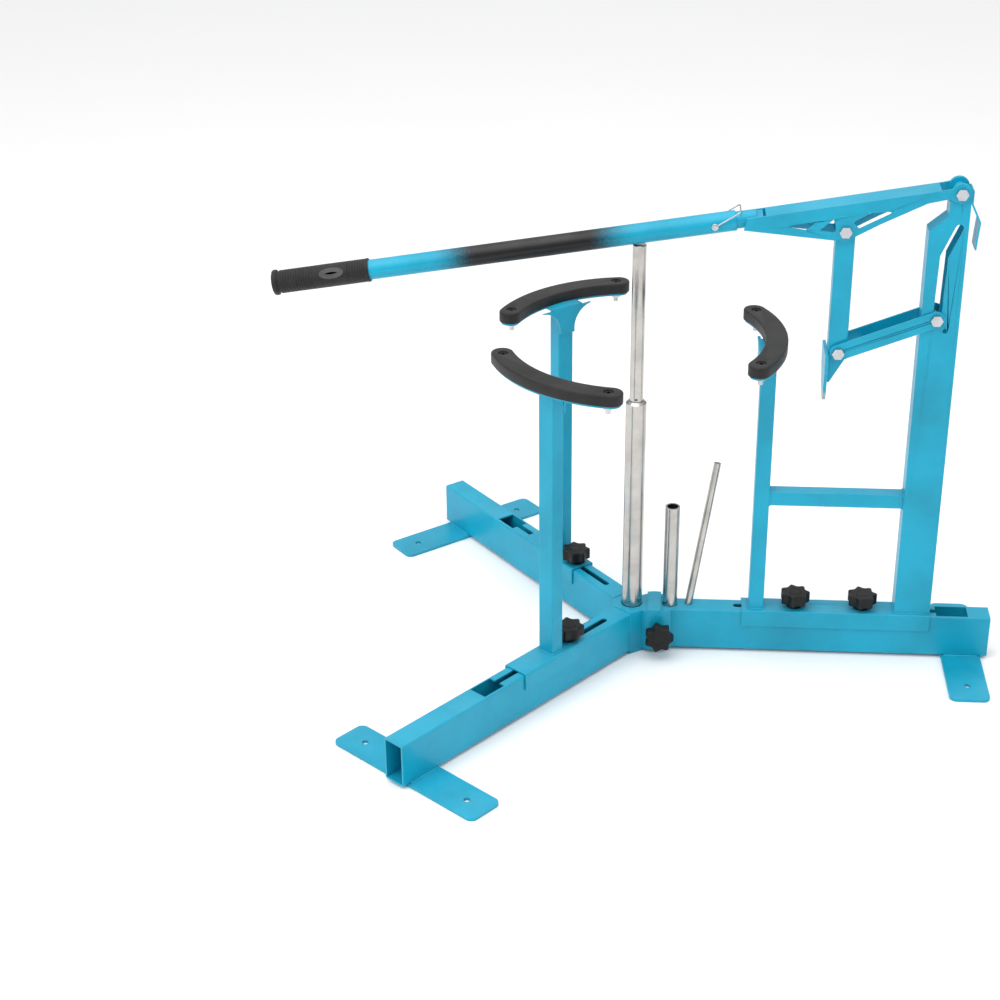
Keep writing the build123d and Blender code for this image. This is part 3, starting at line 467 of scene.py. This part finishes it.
def onlyVerts(geometry):
    return [item for item in geometry if isinstance(item, bmesh.types.BMVert)]


def onlyEdges(geometry):
    return [item for item in geometry if isinstance(item, bmesh.types.BMEdge)]


def onlyFaces(geometry):
    return [item for item in geometry if isinstance(item, bmesh.types.BMFace)]


# turns a profile of (along, radius) pairs round the Z axis
def turnProfile(mesh, profile, steps=64):
    verts = [mesh.verts.new((radius * mm, 0, along * mm)) for along, radius in profile]
    edges = [mesh.edges.new(pair) for pair in zip(verts, verts[1:])]
    bmesh.ops.spin(mesh, geom=verts + edges, cent=(0, 0, 0), axis=(0, 0, 1), angle=2 * pi, steps=steps,
                   use_merge=True)


def bevelEdges(mesh, edges, width, segments):
    bmesh.ops.bevel(mesh, geom=edges, offset=width, segments=segments, profile=0.5, affect="EDGES", material=-1,
                    clamp_overlap=True)


# draws an open ring of edges out along a straight run and gives the new ring
def pushRing(mesh, edges, shift):
    grown = bmesh.ops.extrude_edge_only(mesh, edges=edges)["geom"]
    verts = onlyVerts(grown)
    bmesh.ops.translate(mesh, verts=verts, vec=shift)
    ring = set(verts)
    return [edge for edge in onlyEdges(grown) if edge.verts[0] in ring and edge.verts[1] in ring]


def turnRing(mesh, edges, centre, axis, angle, steps):
    last = bmesh.ops.spin(mesh, geom=edges, cent=centre, axis=axis, angle=angle, steps=steps)["geom_last"]
    return onlyEdges(last)


def ringEdges(verts):
    return list({edge for vert in verts for edge in vert.link_edges})


knob = {"headFoot": 8.0, "headTop": 27.2, "reach": 22.4, "lobes": 7, "lobeDepth": 2.6, "topRound": 2.6,
        "footRound": 1.1, "segments": 140,
        "collar": ((0, 11.5), (0, 13.2), (0.6, 13.8), (7.2, 13.8), (8.2, 14.6), (8.2, 1)),
        "cap": ((27.0, 11.4), (27.5, 11.3), (27.9, 10.7), (28.0, 9.8), (28.0, 9.0), (27.6, 8.6), (27.7, 5),
                (27.8, 0)),
        "turnSteps": 56}


def starKnob(name, joint):
    mesh = bmesh.new()
    disc = bmesh.ops.create_circle(mesh, cap_ends=True, radius=knob["reach"] * mm, segments=knob["segments"],
                                   matrix=Matrix.Translation((0, 0, knob["headFoot"] * mm)))
    for vert in disc["verts"]:
        wave = cos(knob["lobes"] * atan2(vert.co.y, vert.co.x))
        stretch = 1 + knob["lobeDepth"] * (wave - 0.25 * (1 - wave * wave)) / knob["reach"]
        vert.co = (vert.co.x * stretch, vert.co.y * stretch, vert.co.z)
    foot = ringEdges(disc["verts"])
    grown = bmesh.ops.extrude_face_region(mesh, geom=mesh.faces[:], use_keep_orig=True)["geom"]
    rise = (knob["headTop"] - knob["headFoot"]) * mm
    bmesh.ops.translate(mesh, verts=onlyVerts(grown), vec=(0, 0, rise))
    bevelEdges(mesh, onlyEdges(grown), knob["topRound"] * mm, 5)
    bevelEdges(mesh, [edge for edge in foot if edge.is_valid], knob["footRound"] * mm, 2)
    turnProfile(mesh, knob["collar"], knob["turnSteps"])
    turnProfile(mesh, knob["cap"], knob["turnSteps"])
    bmesh.ops.transform(mesh, matrix=placed(jointSpot(joint), jointAxis(joint)), verts=mesh.verts)
    return addPiece(mesh, name + "Star", name, "black_plastic", replaced=(name,), sharp=50)


for name in ("hub_knob", "front_knob", "back_knob", "tower_inner_knob", "tower_outer_knob"):
    starKnob(name, name + "_turn")
print("knobs made")

pad = {"round": 0.0028, "segments": 4, "sharpAngle": radians(50), "screwRound": 0.0007, "footRound": 0.0009,
       "smallSegments": 2, "screwReach": 0.0086, "join": 0.00002, "flat": radians(0.8), "level": 1e-5}


# a pad's solid with its rims rounded over
def rimPad(name, body):
    mesh = bmesh.new()
    mesh.from_mesh(nodes[name].data)
    bmesh.ops.remove_doubles(mesh, verts=mesh.verts, dist=pad["join"])
    bmesh.ops.dissolve_limit(mesh, angle_limit=pad["flat"], verts=mesh.verts, edges=mesh.edges)
    low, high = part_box(name)

    def nearScrew(edge):
        return min((edge.verts[0].co - spot).length for spot in screwTops[name]) < pad["screwReach"]

    sharp = [edge for edge in mesh.edges if len(edge.link_faces) == 2
             and edge.calc_face_angle() > pad["sharpAngle"]]
    rims = [edge for edge in sharp if {round(vert.co.z, 4) for vert in edge.verts} == {round(high.z, 4)}]
    foot = [edge for edge in sharp if all(abs(vert.co.z - low.z) < pad["level"] for vert in edge.verts)]
    screwRims = [edge for edge in rims if nearScrew(edge)]
    bevelEdges(mesh, [edge for edge in rims if edge not in screwRims], pad["round"], pad["segments"])
    for edges, width in ((screwRims, pad["screwRound"]), (foot, pad["footRound"])):
        bevelEdges(mesh, [edge for edge in edges if edge.is_valid], width, pad["smallSegments"])
    return addPiece(mesh, name + "Moulded", body, "black_rubber", replaced=(name,), sharp=40)


padPlan = {"radius": 0.220, "screwAngle": radians(29.7), "rightShift": -0.0034, "leftShift": 0.0147}
legsCross = Vector((0.005, 0, 0))
rightWay = Vector((1, 0, 0))
frontWay = jointAxis("front_carriage_slide")
backWay = jointAxis("back_carriage_slide")


def screwSpots(name, direction, shift):
    side = Vector((-direction.y, direction.x, 0))
    centre = legsCross + direction * shift + Vector((0, 0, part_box(name)[1].z))
    turn = padPlan["screwAngle"]
    return [centre + (direction * cos(turn) + side * sign * sin(turn)) * padPlan["radius"] for sign in (1, -1)]


screwTops = {"right_pad": screwSpots("right_pad", rightWay, padPlan["rightShift"]),
             "front_pad": screwSpots("front_pad", frontWay, padPlan["leftShift"]),
             "back_pad": screwSpots("back_pad", backWay, padPlan["leftShift"])}
rimPad("right_pad", "tower")
rimPad("front_pad", "front_carriage")
rimPad("back_pad", "back_carriage")
print("pads made")

grip = {"start": 927.0, "length": 159.0, "radius": 19.0, "bore": 16.15, "flange": 20.5, "groove": 0.75,
        "pitch": 4.2, "smoothFrom": 34.0, "smoothTo": 88.0}


def gripProfile():
    size = grip
    profile = [(0.3, size["bore"]), (0, size["radius"] - 1.2), (0.3, size["radius"] - 0.5),
               (1.2, size["radius"]), (4.5, size["radius"]), (5.2, size["radius"] - 0.8)]
    along = 7.0
    while along < size["length"] - 16:
        depth = 0.05 if size["smoothFrom"] < along < size["smoothTo"] else size["groove"]
        profile += [(along, size["radius"] - 0.3), (along + 0.6, size["radius"] - 0.3 - depth),
                    (along + 1.4, size["radius"] - 0.3 - depth), (along + 2.0, size["radius"] - 0.3)]
        along += size["pitch"]
    end = size["length"]
    return profile + [(end - 13, size["radius"] - 0.3), (end - 11.5, size["radius"] - 1.5),
                      (end - 9.5, size["radius"] - 1.5), (end - 7.8, size["flange"] - 0.5),
                      (end - 6.5, size["flange"]), (end - 3, size["flange"]), (end - 1, size["flange"] - 1),
                      (end, size["flange"] - 3.2), (end, 8), (end - 1.2, 7.2), (end - 1.2, 0)]


gripMesh = bmesh.new()
turnProfile(gripMesh, gripProfile(), 72)
gripPlace = placed(pivot + alongHandle * grip["start"] * mm, alongHandle, Vector((0, -1, 0.55)))
bmesh.ops.transform(gripMesh, matrix=gripPlace, verts=gripMesh.verts)
addPiece(gripMesh, "handleGripMoulded", "lever", "black_rubber", replaced=("handle_grip",))

badge = {"along": 60.0, "halfLength": 20.0, "halfWidth": 9.0, "proud": 0.55, "sunk": 1.4,
         "rings": ((0.5, 0.25), (1.3, 0), (0.4, -0.35), (1.6, 0), (1.8, 0), (1.6, 0))}


# raised oval badge, left blank, wrapped on to the side of the grip
def gripBadge():
    mesh = bmesh.new()
    disc = bmesh.ops.create_circle(mesh, cap_ends=True, radius=1, segments=56)
    bmesh.ops.scale(mesh, vec=(badge["halfWidth"] * mm, badge["halfLength"] * mm, 1), verts=disc["verts"])
    walls = bmesh.ops.extrude_edge_only(mesh, edges=ringEdges(disc["verts"]))["geom"]
    bmesh.ops.translate(mesh, verts=onlyVerts(walls), vec=(0, 0, -badge["sunk"] * mm))
    face = [item for item in mesh.faces if len(item.verts) > 4]
    for thickness, depth in badge["rings"]:
        bmesh.ops.inset_region(mesh, faces=face, thickness=thickness * mm, depth=depth * mm, use_even_offset=True)
    for vert in mesh.verts:
        turn = vert.co.x / (grip["radius"] * mm)
        reach = (grip["radius"] - 0.3 + badge["proud"]) * mm + vert.co.z
        vert.co = (reach * cos(turn), reach * sin(turn), vert.co.y + badge["along"] * mm)
    bmesh.ops.transform(mesh, matrix=gripPlace, verts=mesh.verts)
    addPiece(mesh, "gripBadge", "lever", "black_rubber",
             darkMoulding("badgeRubber", (0.060, 0.060, 0.060), 0.5, 1800.0, 0.1), sharp=60)


gripBadge()
print("grip made")

bail = {"wire": 1.15, "eye": 4.35, "half": 20.0, "back": 42.0, "rise": 18.2, "bend": 6.0, "sides": 14,
        "bendSteps": 8, "eyeSteps": 32}


# spring wire of the lock pin: two eyes on the pin, two arms and a rounded bar over the handle
def lockWire():
    across = Vector((0, 1, 0))
    lift = Vector((alongHandle.z, 0, -alongHandle.x))
    farSpot = lockSpot - alongHandle * bail["back"] * mm + lift * bail["rise"] * mm
    armRun = (farSpot - lockSpot).normalized()
    mesh = bmesh.new()
    bend = bail["bend"] * mm
    start = lockSpot + across * bail["half"] * mm + armRun * bail["eye"] * mm
    armLength = (farSpot - lockSpot).length - bail["eye"] * mm - bend
    ring = bmesh.ops.create_circle(mesh, radius=bail["wire"] * mm, segments=bail["sides"],
                                   matrix=placed(start, armRun))
    edges = pushRing(mesh, ringEdges(ring["verts"]), armRun * armLength)
    centre = start + armRun * armLength - across * bend
    axis = armRun.cross(-across)
    edges = turnRing(mesh, edges, centre, axis, radians(90), bail["bendSteps"])
    edges = pushRing(mesh, edges, -across * (2 * bail["half"] * mm - 2 * bend))
    centre = centre - across * (2 * bail["half"] * mm - 2 * bend)
    edges = turnRing(mesh, edges, centre, axis, radians(90), bail["bendSteps"])
    pushRing(mesh, edges, -armRun * armLength)
    bmesh.ops.holes_fill(mesh, edges=mesh.edges, sides=0)
    for sign in (1, -1):
        spot = lockSpot + across * sign * bail["half"] * mm
        eyeRing = bmesh.ops.create_circle(mesh, radius=bail["wire"] * mm, segments=bail["sides"],
                                          matrix=placed(spot + armRun * bail["eye"] * mm, across.cross(armRun)))
        bmesh.ops.spin(mesh, geom=ringEdges(eyeRing["verts"]) + eyeRing["verts"], cent=spot, axis=across,
                       angle=2 * pi, steps=bail["eyeSteps"], use_merge=True)
    addPiece(mesh, "lockPinWire", "lock_bail", "zinc", replaced=("lock_pin_bail",), sharp=80)


lockWire()
print("wire made")

bead = {"radius": 2.0, "pitch": 2.4, "swell": 1.16, "pinch": 0.94, "tip": 0.45, "sides": 8, "barRadius": 1.7,
        "hubRadius": 1.5, "inset": 0.004, "legSide": 0.0203}


# one welded run: a bar drawn out in short steps that swell and pinch, closed at both ends
def weldRun(mesh, start, end, radius):
    start, end = Vector(start), Vector(end)
    run = end - start
    steps = max(2, round(run.length / (bead["pitch"] * mm)) * 2)
    size = bead["tip"]
    ring = bmesh.ops.create_circle(mesh, cap_ends=True, radius=radius * mm * size, segments=bead["sides"],
                                   matrix=placed(start, run, Vector((0.1, 0.2, 1))))
    edges = ringEdges(ring["verts"])
    for step in range(1, steps + 1):
        edges = pushRing(mesh, edges, run / steps)
        nextSize = bead["tip"] if step == steps else bead["swell"] if step % 2 else bead["pinch"]
        verts = {vert for edge in edges for vert in edge.verts}
        centre = start + run * step / steps
        bmesh.ops.scale(mesh, vec=(nextSize / size,) * 3, space=Matrix.Translation(-centre), verts=list(verts))
        size = nextSize
    bmesh.ops.holes_fill(mesh, edges=edges, sides=0)


def weldBead(name, body, corners, radius=bead["radius"], closed=True):
    mesh = bmesh.new()
    spots = list(corners) + ([corners[0]] if closed else [])
    for start, end in zip(spots, spots[1:]):
        weldRun(mesh, start, end, radius)
    addPiece(mesh, name, body, "blue_paint", sharp=70)


def legPoint(direction, along, across, up):
    side = Vector((-direction.y, direction.x, 0))
    return legsCross + direction * along + side * across + Vector((0, 0, up))


upright = {"left": 0.214, "right": 0.206, "along": 0.0125, "across": 0.015}
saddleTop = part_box("right_upright")[0].z
for name, body, direction, centre in (("frontUprightWeld", "front_carriage", frontWay, upright["left"]),
                                      ("backUprightWeld", "back_carriage", backWay, upright["left"]),
                                      ("rightUprightWeld", "tower", rightWay, upright["right"])):
    weldBead(name, body, [
        legPoint(direction, centre + ahead * upright["along"], aside * upright["across"], saddleTop)
        for ahead, aside in ((-1, -1), (1, -1), (1, 1), (-1, 1))])

columnLow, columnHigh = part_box("tower_column")
barLow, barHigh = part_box("cross_bar")
inset = bead["inset"]
weldBead("columnFootWeld", "tower", (
    (columnHigh.x - inset, columnLow.y, saddleTop), (columnLow.x, columnLow.y, saddleTop),
    (columnLow.x, columnHigh.y, saddleTop), (columnHigh.x - inset, columnHigh.y, saddleTop)), closed=False)
for name, x in (("barInnerWeld", barLow.x), ("barOuterWeld", barHigh.x)):
    weldBead(name, "tower", ((x, barLow.y, barLow.z), (x, barHigh.y, barLow.z),
                             (x, barHigh.y, barHigh.z), (x, barLow.y, barHigh.z)), radius=bead["barRadius"])

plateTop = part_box("right_foot_plate")[1].z
feet = {"rightFoot": (rightWay, 0.5232, 0.5892), "frontFoot": (frontWay, 0.4968, 0.5628),
        "backFoot": (backWay, 0.4809, 0.5469)}
for name, (direction, first, last) in feet.items():
    for side, place in ((1, "Left"), (-1, "Right")):
        across = side * bead["legSide"]
        weldBead(name + "Weld" + place, "base", (
            legPoint(direction, first + inset, across, plateTop),
            legPoint(direction, last - inset, across, plateTop)), closed=False)

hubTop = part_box("hub_core")[1].z
hubWeld = {"along": 0.034, "across": 0.0195, "foot": 0.008}
for name, direction in (("frontHubWeld", frontWay), ("backHubWeld", backWay)):
    weldBead(name, "base", [
        legPoint(direction, hubWeld["along"], side * hubWeld["across"], up)
        for side, up in ((-1, hubWeld["foot"]), (-1, hubTop), (1, hubTop), (1, hubWeld["foot"]))],
        radius=bead["hubRadius"], closed=False)
print("welds made")

floorMaterial, floorTree, floorSurface, floorVector = newMaterial("paleFloor")
floorPatches = noiseNode(floorTree, floorVector, 1.5, 3.0)
floorTone = mixColour(floorTree, floorPatches, (0.93, 0.93, 0.93), (0.95, 0.95, 0.95))
floorTree.links.new(floorTone, floorSurface.inputs["Base Color"])
floorSurface.inputs["Roughness"].default_value = 0.75
floorSurface.inputs["Specular IOR Level"].default_value = 0.1
floorMesh = bmesh.new()
bmesh.ops.create_grid(floorMesh, x_segments=1, y_segments=1, size=14)
floorData = bpy.data.meshes.new("floor")
floorMesh.to_mesh(floorData)
floorMesh.free()
floor = bpy.data.objects.new("floor", floorData)
floor.location.z = startLow.z - 0.0004
floorData.materials.append(floorMaterial)
scene.collection.objects.link(floor)

middle = (startLow + startHigh) / 2
softboxes = {
    "overhead": {"spot": (-0.4, -0.6, 3.6), "size": (3.4, 3.4), "power": 66},
    "leftFront": {"spot": (-2.8, -2.4, 2.2), "size": (1.4, 2.2), "power": 40},
    "rightSide": {"spot": (3.0, -1.4, 1.5), "size": (1.0, 2.0), "power": 14},
}
for name, box in softboxes.items():
    data = bpy.data.lights.new(name, "AREA")
    data.shape = "RECTANGLE"
    data.size, data.size_y = box["size"]
    data.energy = box["power"]
    light = bpy.data.objects.new(name, data)
    light.location = box["spot"]
    light.rotation_mode = "QUATERNION"
    light.rotation_quaternion = (middle - Vector(box["spot"])).to_track_quat("-Z", "Y")
    scene.collection.objects.link(light)

sky = {"low": (0.34, 0.345, 0.35), "high": (1.0, 1.0, 1.0), "strength": 1.0}
world = bpy.data.worlds.new("studio")
world.use_nodes = True
scene.world = world
worldTree = world.node_tree
background = worldTree.nodes["Background"]
skyVector = worldTree.nodes.new("ShaderNodeTexCoord")
skySplit = worldTree.nodes.new("ShaderNodeSeparateXYZ")
worldTree.links.new(skyVector.outputs["Generated"], skySplit.inputs["Vector"])
skyTone = mixColour(worldTree, rampNode(worldTree, skySplit.outputs["Z"], 0.05, 0.75), sky["low"], sky["high"])
worldTree.links.new(skyTone, background.inputs["Color"])
background.inputs["Strength"].default_value = sky["strength"]
scene.view_settings.view_transform = "Standard"
print("stage made")
